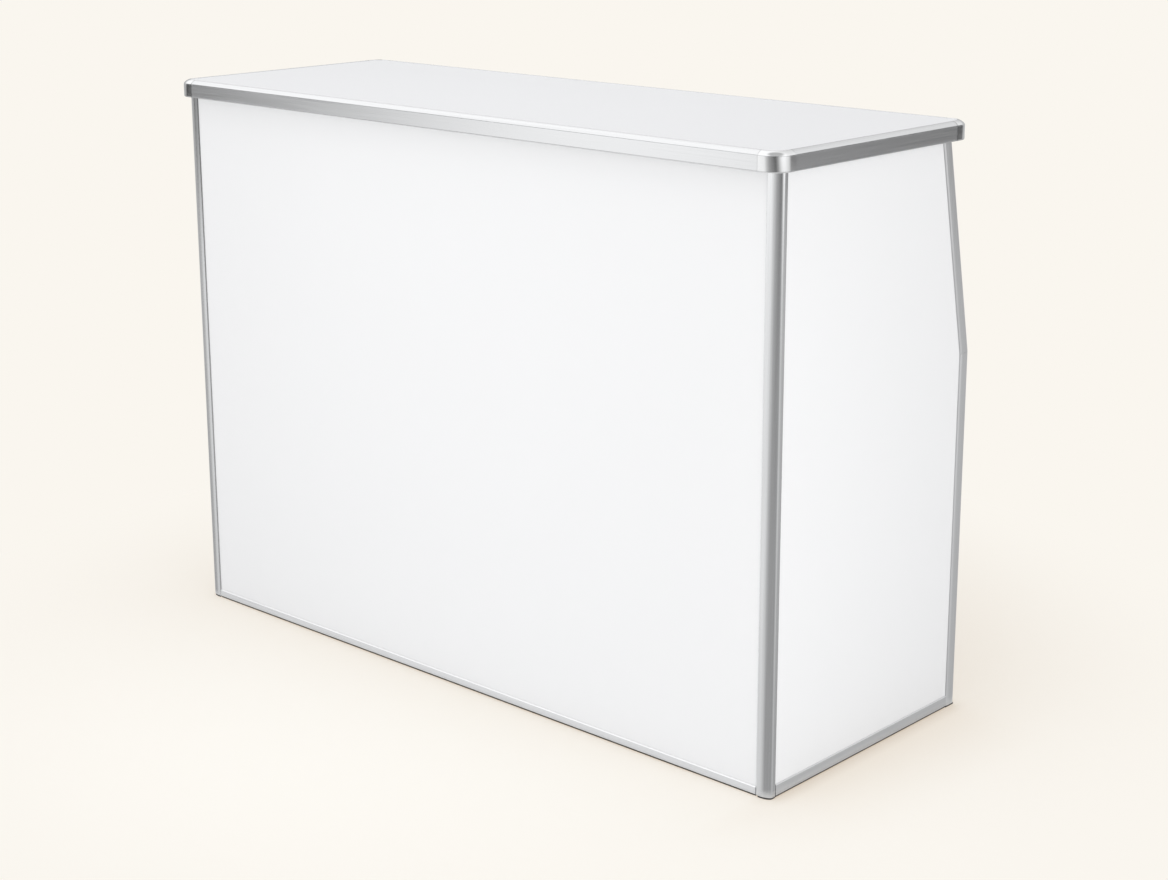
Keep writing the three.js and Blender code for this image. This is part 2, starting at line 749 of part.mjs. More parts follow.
// The rim's section goes along one leg, round the corner and out along the other leg
function rimCorner(x, y, inwardY) {
  const centre = point(x - rimCornerRadius, y + inwardY.y * rimCornerRadius, rimBottom);
  const stations = [];
  for (let i = 0; i <= cornerSteps; i += 1) {
    const angle = (Math.PI / 2) * (i / cornerSteps);
    const out = point(Math.cos(angle), -inwardY.y * Math.sin(angle), 0);
    const at = centre.clone().addScaledVector(out, rimCornerRadius);
    stations.push({ at, a: out.clone().negate(), b: axisZ });
  }
  const first = stations[0];
  const last = stations[cornerSteps];
  const sideLeg = first.at.clone().addScaledVector(inwardY, cornerLeg);
  const endLeg = last.at.clone().addScaledVector(backX, cornerLeg);
  stations.unshift({ at: sideLeg, a: first.a, b: axisZ });
  stations.push({ at: endLeg, a: last.a, b: axisZ });
  return sweep(rimOutline(cornerDepth, cornerProud + lipWidth), stations, rimSegments);
}

function topPeg(x, y) {
  const headBottom = rimBottom + frameWall + seatGap;
  const profile = [
    [0, rimBottom - pegLength],
    [pegRadius - faceBevel, rimBottom - pegLength],
    [pegRadius, rimBottom - pegLength + 2 * faceBevel],
    [pegRadius, headBottom],
    [pegHeadRadius, headBottom],
    [pegHeadRadius, headBottom + pegHeadHeight],
    [0, headBottom + pegHeadHeight],
  ].map(([radius, height]) => new THREE.Vector2(radius, height));
  const turned = new THREE.LatheGeometry(profile, boreSides);
  turned.deleteAttribute('normal');
  turned.deleteAttribute('uv');
  return outward(mergeVertices(turned).rotateX(Math.PI / 2).translate(x, y, 0));
}

addFrontPanel();
addCrossRail('upper_cross_rail', workShelfHeight);
addCrossRail('lower_cross_rail', lowerShelfHeight);
addFeet();
addWingStiles();
addWingRails();
addWingSheets();
addCleats('work_shelf_cleat', workShelfHeight);
addCleats('lower_shelf_cleat', lowerShelfHeight);
addWingHinges();
addShelf(workShelf, 'work_shelf', workShelfHeight, panelTop - topRailHeight);
const upperRailBottom = crossRailTop(workShelfHeight) - crossRailHeight;
addShelf(lowerShelf, 'lower_shelf', lowerShelfHeight, upperRailBottom);
addBarTop();

export default folding;
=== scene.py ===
import json
import math

import bmesh
import bpy
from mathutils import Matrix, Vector

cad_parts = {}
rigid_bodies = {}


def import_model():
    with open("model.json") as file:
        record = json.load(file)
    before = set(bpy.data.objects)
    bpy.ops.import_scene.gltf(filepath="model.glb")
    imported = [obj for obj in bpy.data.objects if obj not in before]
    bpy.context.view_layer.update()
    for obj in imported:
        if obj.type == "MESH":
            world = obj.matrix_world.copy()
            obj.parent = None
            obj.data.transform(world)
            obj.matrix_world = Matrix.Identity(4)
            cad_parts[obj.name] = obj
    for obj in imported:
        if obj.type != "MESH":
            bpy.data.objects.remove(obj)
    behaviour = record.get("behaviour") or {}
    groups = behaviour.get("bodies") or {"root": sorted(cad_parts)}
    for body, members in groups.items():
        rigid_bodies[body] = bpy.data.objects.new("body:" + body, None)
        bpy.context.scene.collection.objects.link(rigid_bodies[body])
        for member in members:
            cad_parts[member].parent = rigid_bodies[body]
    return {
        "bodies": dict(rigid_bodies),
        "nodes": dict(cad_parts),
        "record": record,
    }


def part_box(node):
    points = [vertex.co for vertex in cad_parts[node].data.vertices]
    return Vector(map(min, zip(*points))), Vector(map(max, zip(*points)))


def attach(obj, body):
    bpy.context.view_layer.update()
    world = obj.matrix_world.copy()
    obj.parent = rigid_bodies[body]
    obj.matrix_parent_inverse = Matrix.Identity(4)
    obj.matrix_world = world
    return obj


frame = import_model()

# Folding portable bar: white laminate panels in aluminium frames, in a pale studio
scene = bpy.context.scene
nodes = frame["nodes"]
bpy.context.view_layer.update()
print("frame loaded:", len(nodes), "nodes")


# Camera at the photograph's corner
camera = {
    "frameWidth": 1168,  # pixels that the focal length is counted in
    "focal": 2131.7,
    "sensorWidth": 36.0,
    "place": (2.6796, -2.8153, 1.5329),
    "yaw": -0.7346,
    "pitch": 0.2522,
    "shift": (-0.02, -0.05),
}


def makeCamera():
    data = bpy.data.cameras.new("barCamera")
    data.sensor_fit = "HORIZONTAL"
    data.sensor_width = camera["sensorWidth"]
    data.lens = camera["focal"] / camera["frameWidth"] * data.sensor_width
    data.shift_x, data.shift_y = camera["shift"]
    view = bpy.data.objects.new("barCamera", data)
    scene.collection.objects.link(view)
    level = math.cos(camera["pitch"])
    ahead = Vector((
        math.sin(camera["yaw"]) * level,
        math.cos(camera["yaw"]) * level,
        -math.sin(camera["pitch"]),
    ))
    view.location = camera["place"]
    view.rotation_mode = "QUATERNION"
    view.rotation_quaternion = ahead.to_track_quat("-Z", "Y")
    scene.camera = view
    scene.view_settings.view_transform = "Standard"


# Small helpers for node trees
def addNode(tree, kind, inputs=None, **settings):
    node = tree.nodes.new(kind)
    for key, value in settings.items():
        setattr(node, key, value)
    for key, value in (inputs or {}).items():
        node.inputs[key].default_value = value
    return node


def wire(tree, source, target):
    tree.links.new(source, target)


def feed(tree, value, socket):
    if isinstance(value, (int, float, tuple)):
        socket.default_value = value
    else:
        wire(tree, value, socket)


def mathNode(tree, operation, *values):
    node = addNode(tree, "ShaderNodeMath", operation=operation)
    for value, socket in zip(values, node.inputs):
        feed(tree, value, socket)
    return node.outputs[0]


def mapRange(tree, value, fromMin, fromMax, toMin=0.0, toMax=1.0, smooth=False):
    node = addNode(tree, "ShaderNodeMapRange", {
        "From Min": fromMin, "From Max": fromMax, "To Min": toMin, "To Max": toMax,
    })
    if smooth:
        node.interpolation_type = "SMOOTHSTEP"
    wire(tree, value, node.inputs["Value"])
    return node.outputs["Result"]


def mixColor(tree, factor, first, second, blend="MIX"):
    node = addNode(tree, "ShaderNodeMix", data_type="RGBA", blend_type=blend)
    for value, number in ((factor, 0), (first, 6), (second, 7)):  # sockets of the colour mix
        feed(tree, value, node.inputs[number])
    return node.outputs[2]


def timesColor(tree, first, second):
    return mixColor(tree, 1.0, first, second, "MULTIPLY")


def gray(value):
    return (value, value, value, 1.0)


# Studio: pale floor and backdrop, a soft lamp in front, one at the right, one above
studio = {
    "cream": (0.956, 0.922, 0.863, 1.0),  # backdrop as the camera sees it
    "ambientLow": (0.91, 0.91, 0.915, 1.0),  # soft light from the walls and from above
    "ambientHigh": (0.56, 0.56, 0.565, 1.0),
}
lamps = {
    "keyLamp": {"place": (-0.15, -1.95, 0.95), "size": (1.2, 0.9), "power": 6.4},
    "sideLamp": {"place": (2.0, -0.55, 0.75), "size": (1.2, 1.2), "power": 6.4},
    "topLamp": {"place": (-0.2, -0.4, 3.6), "size": (3.4, 2.6), "power": 33.0},
}
lampAim = (0.0, 0.0, 0.5)

# The studio as metal mirrors it: pale boxes and dark gaps round the bar, a roof above, the floor below
mirrored = {
    # degrees from the front, level
    "ring": (
        (-180, 0.62), (-135, 0.60), (-112, 0.52), (-70, 0.50), (-59, 0.07), (-53, 0.06), (-50, 0.33),
        (-46, 1.26), (-42, 1.44), (-37, 1.22), (-28, 1.02), (-14, 0.68), (2, 0.39), (24, 0.18),
        (32, 0.07), (40, 0.06), (54, 0.52), (66, 1.14), (78, 1.50), (94, 1.50), (108, 1.20),
        (124, 0.92), (138, 0.22), (145, 0.10), (151, 0.12), (160, 0.50), (180, 0.62),
    ),
    # the same further down, where the posts and stiles look
    "lowRing": (
        (-180, 0.60), (-64, 0.55), (-53, 0.88), (-46, 1.32), (-42, 1.36), (-37, 1.02), (-29, 1.06),
        (-19, 0.68), (-3, 0.47), (16, 0.38), (56, 0.39), (82, 0.72), (108, 0.82), (128, 0.72),
        (142, 0.61), (180, 0.60),
    ),
    "ringSplit": (-0.163, -0.151),  # the low ring gives way to the other between these slopes
    "ringGain": 1.5,  # highest level that the rings may hold
    "ringFall": (-0.45, -0.12, 0.68, 1.02),  # dimmer towards the floor
    "ringLift": (-0.26, -0.17, 0.38),  # but never darker than this below the horizon
    "floorGlow": (-0.8, -0.52, 0.95),  # pale floor straight below
    "roof": {"front": 1.34, "rearLeft": 0.82, "rearRight": 1.12},
    "roofAcross": (-0.5, 0.3),  # its rear changes from left to right between these
    "roofRear": (0.3, 0.66),
    "roofFrom": (0.26, 0.60),
    "zenith": (0.84, 0.96, 0.60),  # dimmer straight above, so that the rim reads as metal from the top
}


def ringLevel(tree, share, levels):
    ring = addNode(tree, "ShaderNodeValToRGB")
    stops = ring.color_ramp.elements
    while len(stops) > 1:
        stops.remove(stops[-1])
    for index, (degrees, level) in enumerate(levels):
        place = (degrees + 180) / 360
        stop = stops[0] if index == 0 else stops.new(place)
        stop.position = place
        stop.color = gray(level / mirrored["ringGain"])
    wire(tree, share, ring.inputs[0])
    return ring.outputs["Color"]


def mirroredWalls(tree, toward):
    slope = toward.outputs["Z"]
    behind = mathNode(tree, "MULTIPLY", toward.outputs["Y"], -1.0)
    turn = mathNode(tree, "ARCTAN2", toward.outputs["X"], behind)
    share = mapRange(tree, turn, -math.pi, math.pi)
    upper = ringLevel(tree, share, mirrored["ring"])
    lower = ringLevel(tree, share, mirrored["lowRing"])
    low = mapRange(tree, slope, *mirrored["ringSplit"], 1.0, 0.0, smooth=True)
    ring = mixColor(tree, low, upper, lower)
    fall = mapRange(tree, slope, *mirrored["ringFall"])
    gain = mathNode(tree, "MULTIPLY", fall, mirrored["ringGain"])
    liftFrom, liftTo, liftLevel = mirrored["ringLift"]
    lift = mapRange(tree, slope, liftFrom, liftTo, liftLevel, 0.0)
    level = mathNode(tree, "MAXIMUM", mathNode(tree, "MULTIPLY", ring, gain), lift)
    floorFrom, floorTo, floorLevel = mirrored["floorGlow"]
    under = mapRange(tree, slope, floorFrom, floorTo, 1.0, 0.0, smooth=True)
    return mixColor(tree, under, level, gray(floorLevel))


def mirroredRoof(tree, toward):
    roof = mirrored["roof"]
    across = mirrored["roofAcross"]
    rearLevel = mapRange(tree, toward.outputs["X"], *across, roof["rearLeft"], roof["rearRight"])
    rearShare = mapRange(tree, toward.outputs["Y"], *mirrored["roofRear"], smooth=True)
    ceiling = mixColor(tree, rearShare, gray(roof["front"]), rearLevel)
    zenithFrom, zenithTo, zenithLevel = mirrored["zenith"]
    above = mapRange(tree, toward.outputs["Z"], zenithFrom, zenithTo, smooth=True)
    return mixColor(tree, above, ceiling, gray(zenithLevel))


def makeWorld():
    world = bpy.data.worlds.new("studio")
    scene.world = world
    world.use_nodes = True
    world.cycles.sampling_method = "NONE"
    tree = world.node_tree
    tree.nodes.clear()
    place = addNode(tree, "ShaderNodeTexCoord")
    toward = addNode(tree, "ShaderNodeSeparateXYZ")
    wire(tree, place.outputs["Generated"], toward.inputs[0])
    height = mapRange(tree, toward.outputs["Z"], *mirrored["roofFrom"], smooth=True)
    room = mixColor(tree, height, mirroredWalls(tree, toward), mirroredRoof(tree, toward))
    path = addNode(tree, "ShaderNodeLightPath")
    mirrors = (path.outputs["Is Glossy Ray"], path.outputs["Is Transmission Ray"])
    rise = mathNode(tree, "ABSOLUTE", toward.outputs["Z"])
    soft = mixColor(tree, rise, studio["ambientLow"], studio["ambientHigh"])
    light = mixColor(tree, mathNode(tree, "MAXIMUM", *mirrors), soft, room)
    shown = mixColor(tree, path.outputs["Is Camera Ray"], light, studio["cream"])
    back = addNode(tree, "ShaderNodeBackground")
    out = addNode(tree, "ShaderNodeOutputWorld")
    wire(tree, shown, back.inputs["Color"])
    wire(tree, back.outputs[0], out.inputs["Surface"])


def makeLamps():
    for name, lamp in lamps.items():
        data = bpy.data.lights.new(name, "AREA")
        data.shape = "RECTANGLE"
        data.size, data.size_y = lamp["size"]
        data.energy = lamp["power"]
        light = bpy.data.objects.new(name, data)
        scene.collection.objects.link(light)
        light.location = lamp["place"]
        aim = Vector(lampAim) - Vector(lamp["place"])
        light.rotation_mode = "QUATERNION"
        light.rotation_quaternion = aim.to_track_quat("-Z", "Y")
        light.visible_camera = False
        light.visible_glossy = False


paleFloor = {
    "radius": 7.0,
    "sides": 96,
    "shown": (0.945, 0.911, 0.848, 1.0),
    "bounce": (0.84, 0.84, 0.835, 1.0),
    "glowNear": (0.45, 0.33, 0.20, 1.0),  # share of its own glow beside the bar: the shadow stays warm
    "glowFade": (0.5, 1.35),  # metres out to where all of it is glow
    # painted shade on the floor where the bar meets it, darker where occlusion is found within a wide
    # and a narrow reach: reach, shade
    "paintedContacts": ((0.22, (0.86, 0.80, 0.735, 1.0)), (0.03, (0.76, 0.72, 0.68, 1.0))),
    "paintedShadeSide": (0.70, 0.74, 0.21, 1.0),  # the painted shade in full only on the right, away from the key, weaker elsewhere
    "contactRays": 4,
    "mirror": (0.012, 0.04),  # metal this close to the floor mirrors it
}


# Painted shade: the floor's colour darkened where the bar occludes it, more on the right
def paintedContactShade(tree, place):
    shade = gray(1.0)
    for reach, tone in paleFloor["paintedContacts"]:
        near = {"Distance": reach}
        contact = addNode(tree, "ShaderNodeAmbientOcclusion", near, samples=paleFloor["contactRays"])
        edge = mixColor(tree, contact.outputs["AO"], tone, gray(1.0))
        shade = timesColor(tree, edge, shade)
    spot = addNode(tree, "ShaderNodeSeparateXYZ")
    wire(tree, place.outputs["Object"], spot.inputs[0])
    amount = mapRange(tree, spot.outputs["X"], *paleFloor["paintedShadeSide"])
    return mixColor(tree, amount, gray(1.0), shade)


def floorFinish():
    material = bpy.data.materials.new("paleFloor")
    material.use_nodes = True
    tree = material.node_tree
    tree.nodes.clear()
    place = addNode(tree, "ShaderNodeTexCoord")
    span = addNode(tree, "ShaderNodeVectorMath", operation="LENGTH")
    wire(tree, place.outputs["Object"], span.inputs[0])
    path = addNode(tree, "ShaderNodeLightPath")
    seen = path.outputs["Is Camera Ray"]
    fade = mapRange(tree, span.outputs["Value"], *paleFloor["glowFade"], smooth=True)
    share = mixColor(tree, seen, gray(0.0), mixColor(tree, fade, paleFloor["glowNear"], gray(1.0)))
    rest = mixColor(tree, 1.0, gray(1.0), share, "SUBTRACT")
    shade = paintedContactShade(tree, place)
    color = mixColor(tree, seen, paleFloor["bounce"], paleFloor["shown"])
    diffuse = addNode(tree, "ShaderNodeBsdfDiffuse")
    wire(tree, timesColor(tree, timesColor(tree, color, rest), shade), diffuse.inputs["Color"])
    glow = addNode(tree, "ShaderNodeEmission")
    wire(tree, timesColor(tree, timesColor(tree, studio["cream"], share), shade), glow.inputs["Color"])
    blend = addNode(tree, "ShaderNodeAddShader")
    wire(tree, diffuse.outputs[0], blend.inputs[0])
    wire(tree, glow.outputs[0], blend.inputs[1])
    clear = addNode(tree, "ShaderNodeBsdfTransparent")  # metal further up mirrors the world instead
    far = mapRange(tree, path.outputs["Ray Length"], *paleFloor["mirror"])
    passed = mathNode(tree, "MULTIPLY", far, path.outputs["Is Glossy Ray"])
    through = addNode(tree, "ShaderNodeMixShader")
    wire(tree, passed, through.inputs[0])
    wire(tree, blend.outputs[0], through.inputs[1])
    wire(tree, clear.outputs[0], through.inputs[2])
    out = addNode(tree, "ShaderNodeOutputMaterial")
    wire(tree, through.outputs[0], out.inputs["Surface"])
    return material


def makeFloor():
    mesh = bpy.data.meshes.new("floor")
    shape = bmesh.new()
    bmesh.ops.create_circle(
        shape, cap_ends=True, radius=paleFloor["radius"], segments=paleFloor["sides"],
    )
    shape.to_mesh(mesh)
    shape.free()
    floor = bpy.data.objects.new("floor", mesh)
    scene.collection.objects.link(floor)
    mesh.materials.append(floorFinish())


makeCamera()
makeWorld()
makeLamps()
makeFloor()
print("studio ready")


# Finishes
noise = {"roughness": 0.55, "span": (0.3, 0.7)}  # most of the texture's values lie in the span


def newFinish(name):
    material = bpy.data.materials.new(name)
    material.use_nodes = True
    tree = material.node_tree
    return material, tree, tree.nodes["Principled BSDF"]


def stretchedNoise(tree, scale, detail, turn=(0.0, 0.0, 0.0)):
    place = addNode(tree, "ShaderNodeTexCoord")
    spread = addNode(tree, "ShaderNodeMapping", {"Scale": scale, "Rotation": turn})
    texture = addNode(tree, "ShaderNodeTexNoise", {
        "Scale": 1.0, "Detail": detail, "Roughness": noise["roughness"],
    })
    wire(tree, place.outputs["Object"], spread.inputs["Vector"])
    wire(tree, spread.outputs[0], texture.inputs["Vector"])
    return texture.outputs["Fac"]


def evenNoise(tree, scale, detail):
    return stretchedNoise(tree, (scale, scale, scale), detail)


def paint(tree, shader, color, gloss):
    wire(tree, color, shader.inputs["Base Color"])
    wire(tree, gloss, shader.inputs["Roughness"])


def addBump(tree, shader, height, strength, distance):
    bump = addNode(tree, "ShaderNodeBump", {"Strength": strength, "Distance": distance})
    wire(tree, height, bump.inputs["Height"])
    wire(tree, bump.outputs[0], shader.inputs["Normal"])


# The highlight of brushed metal spreads across its grain
def spreadAcrossGrain(tree, shader, grain, amount):
    along = addNode(
        tree, "ShaderNodeVectorTransform", {0: grain},
        vector_type="VECTOR", convert_from="OBJECT", convert_to="WORLD",
    )
    surface = addNode(tree, "ShaderNodeNewGeometry")
    across = addNode(tree, "ShaderNodeVectorMath", operation="CROSS_PRODUCT")
    wire(tree, surface.outputs["Normal"], across.inputs[0])
    wire(tree, along.outputs[0], across.inputs[1])
    wire(tree, across.outputs[0], shader.inputs["Tangent"])
    shader.inputs["Anisotropic"].default_value = amount


brushed = {
    "streaks": (1.6, 900.0),  # along and across the grain, per metre
    "bands": (5.0, 260.0),
    "detail": 3.0,
    "toneSpan": (0.72, 1.28),  # of streaks and bands together
    "glossSpan": (0.7, 1.3),
    "rim": {"tones": (0.67, 0.735), "gloss": (0.18, 0.26), "spread": 0.55},
    "post": {"tones": (0.735, 0.795), "gloss": (0.15, 0.21), "spread": 0.3},
    "stile": {"tones": (0.76, 0.82), "gloss": (0.28, 0.36), "spread": 0.3},
    # front bottom rail: the bottom-rail aluminium in lighter tones than the wing rails, painted light
    "base": {"tones": (0.79, 0.85), "gloss": (0.26, 0.34), "spread": 0.3},
    "rail": {"tones": (0.72, 0.77), "gloss": (0.42, 0.50), "spread": 0.2},
    "tint": (0.992, 1.0, 1.011),
    "bump": 0.5,
    "relief": 0.00002,
}


def brushedMetal(name, axis, kind, turn=0.0):
    material, tree, shader = newFinish(name)
    look = brushed[kind]
    grain = [0.0, 0.0, 0.0]
    grain[axis] = 1.0
    if turn:
        grain = [0.0, -math.sin(turn), math.cos(turn)]
    layers = []
    for along, across in (brushed["streaks"], brushed["bands"]):
        scale = [across] * 3
        scale[axis] = along
        layers.append(stretchedNoise(tree, scale, brushed["detail"], (-turn, 0.0, 0.0)))
    both = mathNode(tree, "ADD", *layers)
    ramp = mapRange(tree, both, *brushed["toneSpan"])
    dark, light = (tuple(tone * c for c in brushed["tint"]) + (1.0,) for tone in look["tones"])
    gloss = mapRange(tree, both, *brushed["glossSpan"], *look["gloss"])
    paint(tree, shader, mixColor(tree, ramp, dark, light), gloss)
    shader.inputs["Metallic"].default_value = 1.0
    spreadAcrossGrain(tree, shader, grain, look["spread"])
    addBump(tree, shader, layers[0], brushed["bump"], brushed["relief"])  # the streaks alone
    return material


cornerFinish = {
    "dark": (0.72, 0.725, 0.73, 1.0),
    "light": (0.77, 0.774, 0.778, 1.0),
    "grain": (40.0, 40.0, 500.0),
    "detail": 4.0,
    "gloss": (0.11, 0.16),
    "bump": 0.3,
    "relief": 0.000006,
}


def satinMetal():
    material, tree, shader = newFinish("satinCorner")
    grain = stretchedNoise(tree, cornerFinish["grain"], cornerFinish["detail"])
    color = mixColor(tree, grain, cornerFinish["dark"], cornerFinish["light"])
    gloss = mapRange(tree, grain, *noise["span"], *cornerFinish["gloss"])
    paint(tree, shader, color, gloss)
    shader.inputs["Metallic"].default_value = 1.0
    addBump(tree, shader, grain, cornerFinish["bump"], cornerFinish["relief"])
    return material


millFinish = {
    "dark": (0.60, 0.61, 0.62, 1.0),
    "light": (0.75, 0.755, 0.76, 1.0),
    "lines": (6.0, 260.0),  # along and across the rail, per metre
    "lineDetail": 2.0,
    "lineShare": 0.6,
    "cloud": (9.0, 4.0),  # scale and detail
    "toneSpan": (0.5, 1.1),
    "gloss": (0.3, 0.46),
    "bump": 0.4,
    "relief": 0.00005,
}


def millMetal(name, axis):
    material, tree, shader = newFinish(name)
    along, across = millFinish["lines"]
    scale = [across] * 3
    scale[axis] = along
    lines = stretchedNoise(tree, scale, millFinish["lineDetail"])
    cloud = evenNoise(tree, *millFinish["cloud"])
    both = mathNode(tree, "MULTIPLY_ADD", lines, millFinish["lineShare"], cloud)
    tone = mapRange(tree, both, *millFinish["toneSpan"])
    color = mixColor(tree, tone, millFinish["dark"], millFinish["light"])
    gloss = mapRange(tree, cloud, *noise["span"], *millFinish["gloss"])
    paint(tree, shader, color, gloss)
    shader.inputs["Metallic"].default_value = 1.0
    addBump(tree, shader, lines, millFinish["bump"], millFinish["relief"])
    return material


zincFinish = {
    "dark": (0.62, 0.63, 0.645, 1.0),
    "light": (0.69, 0.70, 0.715, 1.0),
    "spangle": 220.0,
    "gloss": (0.33, 0.41),
    "fine": (420.0, 3.0),  # scale and detail
    "bump": 0.3,
    "relief": 0.000008,
}


def zincSteel():
    material, tree, shader = newFinish("zincSteel")
    place = addNode(tree, "ShaderNodeTexCoord")
    spangle = addNode(tree, "ShaderNodeTexVoronoi", {"Scale": zincFinish["spangle"]})
    wire(tree, place.outputs["Object"], spangle.inputs["Vector"])
    tone = addNode(tree, "ShaderNodeSeparateColor")
    wire(tree, spangle.outputs["Color"], tone.inputs[0])
    color = mixColor(tree, tone.outputs[0], zincFinish["dark"], zincFinish["light"])
    gloss = mapRange(tree, tone.outputs[1], 0.0, 1.0, *zincFinish["gloss"])
    paint(tree, shader, color, gloss)
    shader.inputs["Metallic"].default_value = 1.0
    fine = evenNoise(tree, *zincFinish["fine"])
    addBump(tree, shader, fine, zincFinish["bump"], zincFinish["relief"])
    return material


laminate = {
    "front": {"color": (0.905, 0.907, 0.912), "gloss": 0.42, "relief": 0.00003},
    "top": {"color": (0.89, 0.895, 0.908), "gloss": 0.34, "relief": 0.00003},
    "shelf": {"color": (0.885, 0.888, 0.892), "gloss": 0.45, "relief": 0.00004},
    "cloud": (2.2, 5.0),  # scale and detail
    "cloudShade": 0.985,
    "pebble": (900.0, 2.0),
    "glossSwing": (-0.05, 0.06),
    "specular": 0.4,
    "bump": 0.4,
}


def whiteLaminate(name, kind):
    material, tree, shader = newFinish(name)
    look = laminate[kind]
    cloud = evenNoise(tree, *laminate["cloud"])
    light = look["color"] + (1.0,)
    dark = tuple(c * laminate["cloudShade"] for c in look["color"]) + (1.0,)
    pebble = evenNoise(tree, *laminate["pebble"])
    swing = (look["gloss"] + part for part in laminate["glossSwing"])
    gloss = mapRange(tree, pebble, *noise["span"], *swing)
    paint(tree, shader, mixColor(tree, cloud, dark, light), gloss)
    shader.inputs["Specular IOR Level"].default_value = laminate["specular"]
    addBump(tree, shader, pebble, laminate["bump"], look["relief"])
    return material


rubber = {
    "dark": (0.010, 0.010, 0.011, 1.0),
    "light": (0.028, 0.028, 0.03, 1.0),
    "grain": (300.0, 4.0),  # scale and detail
    "gloss": (0.55, 0.75),
    "bump": 0.5,
    "relief": 0.0001,
}


def blackRubber():
    material, tree, shader = newFinish("blackRubber")
    grain = evenNoise(tree, *rubber["grain"])
    gloss = mapRange(tree, grain, *noise["span"], *rubber["gloss"])
    paint(tree, shader, mixColor(tree, grain, rubber["dark"], rubber["light"]), gloss)
    addBump(tree, shader, grain, rubber["bump"], rubber["relief"])
    return material


slant = {"forward": 0.077, "up": 0.3736}  # how the slanted stile leans, from the bend to the top
slantTurn = math.atan2(slant["forward"], slant["up"])
finishes = {
    "rimX": brushedMetal("brushedRimX", 0, "rim"),
    "rimY": brushedMetal("brushedRimY", 1, "rim"),
    "baseX": brushedMetal("brushedBasePaintedLight", 0, "base"),
    "railX": brushedMetal("brushedRailX", 0, "rail"),
    "railY": brushedMetal("brushedRailY", 1, "rail"),
    "postZ": brushedMetal("brushedPost", 2, "post"),
    "stileZ": brushedMetal("brushedStile", 2, "stile"),
    "slant": brushedMetal("brushedSlant", 2, "stile", slantTurn),
    "satin": satinMetal(),
    "millX": millMetal("millAlongX", 0),
    "millY": millMetal("millAlongY", 1),
    "millZ": millMetal("millUpright", 2),
    "zinc": zincSteel(),
    "frontWhite": whiteLaminate("whiteLaminate", "front"),
    "topWhite": whiteLaminate("whiteTopLaminate", "top"),
    "shelfWhite": whiteLaminate("whiteShelfLaminate", "shelf"),
    "rubber": blackRubber(),
}
slotFinish = {
    "satin_corner": "satin",
    "hinge_steel": "zinc",
    "white_sheet": "frontWhite",
    "white_top": "topWhite",
    "white_shelf": "shelfWhite",
    "black_rubber": "rubber",
}
brushedKind = {  # the first word found in a node's name decides
    "front_bottom": "base",
    "post": "post",
    "stile": "stile",
    "bottom": "rail",
    "trim": "rail",
    "top": "rim",
}


def finishFor(name, slot):
    low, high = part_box(name)
    size = high - low
    run = "XYZ"[max(range(3), key=lambda axis: size[axis])]
    if slot == "brushed_aluminium":
        if "slanted" in name:
            return finishes["slant"]
        kind = next(brushedKind[word] for word in brushedKind if word in name)
        return finishes[kind + run]
    if slot == "mill_aluminium":
        return finishes["mill" + run]
    return finishes[slotFinish[slot]]


# Merged points and smooth curves for the solids; edges sharper than the angle stay crisp
smoothing = {"weld": 0.00001, "hingeAngle": 40.0, "otherAngle": 12.0}  # metres, degrees


def smoothTree():
    tree = bpy.data.node_groups.new("smoothCurves", "GeometryNodeTree")
    tree.interface.new_socket("Geometry", in_out="INPUT", socket_type="NodeSocketGeometry")
    tree.interface.new_socket("Crisp Angle", in_out="INPUT", socket_type="NodeSocketFloat")
    tree.interface.new_socket("Geometry", in_out="OUTPUT", socket_type="NodeSocketGeometry")
    start = tree.nodes.new("NodeGroupInput")
    end = tree.nodes.new("NodeGroupOutput")
    merge = addNode(tree, "GeometryNodeMergeByDistance", {"Distance": smoothing["weld"]})
    faces = addNode(tree, "GeometryNodeSetShadeSmooth", {"Shade Smooth": True}, domain="FACE")
    edges = addNode(tree, "GeometryNodeSetShadeSmooth", {"Shade Smooth": False}, domain="EDGE")
    bend = addNode(tree, "GeometryNodeInputMeshEdgeAngle")
    sharp = addNode(tree, "FunctionNodeCompare", data_type="FLOAT", operation="GREATER_THAN")
    wire(tree, start.outputs["Crisp Angle"], sharp.inputs[1])
    wire(tree, start.outputs[0], merge.inputs["Geometry"])
    wire(tree, merge.outputs[0], faces.inputs["Geometry"])
    wire(tree, faces.outputs[0], edges.inputs["Geometry"])
    wire(tree, bend.outputs["Unsigned Angle"], sharp.inputs[0])
    wire(tree, sharp.outputs[0], edges.inputs["Selection"])
    wire(tree, edges.outputs[0], end.inputs[0])
    return tree


# A modifier's input goes by its socket's identifier
def setInputs(modifier, values):
    for item in modifier.node_group.interface.items_tree:
        if item.item_type == "SOCKET" and item.in_out == "INPUT" and item.name in values:
            modifier[item.identifier] = values[item.name]


def dressNodes():
    smooth = smoothTree()
    slots = {part["node"]: part["material_slot"] for part in frame["record"]["subparts"]}
    for name, piece in nodes.items():
        piece.data.materials.clear()
        piece.data.materials.append(finishFor(name, slots[name]))
        angle = smoothing["hingeAngle" if slots[name] == "hinge_steel" else "otherAngle"]
        modifier = piece.modifiers.new("smoothCurves", "NODES")
        modifier.node_group = smooth
        setInputs(modifier, {"Crisp Angle": math.radians(angle)})
        flats = piece.modifiers.new("flatFaces", "WEIGHTED_NORMAL")  # wide faces keep their direction
        flats.keep_sharp = True


dressNodes()
print("finishes on", len(nodes), "nodes")


# Dark rubber strips in the gap between the bottom rails and the floor, standing in for the gap's
# shadow: painted shade
gapShadeStrip = {
    "setback": 0.0014,
    "floorGap": 0.0003,
    "round": 0.0007,
    "roundMiddle": 0.3,  # share of the round at the middle of its arc
    "endGap": 0.0008,
    "frontDepth": 0.010,
    "wingDepth": 0.0052,
}


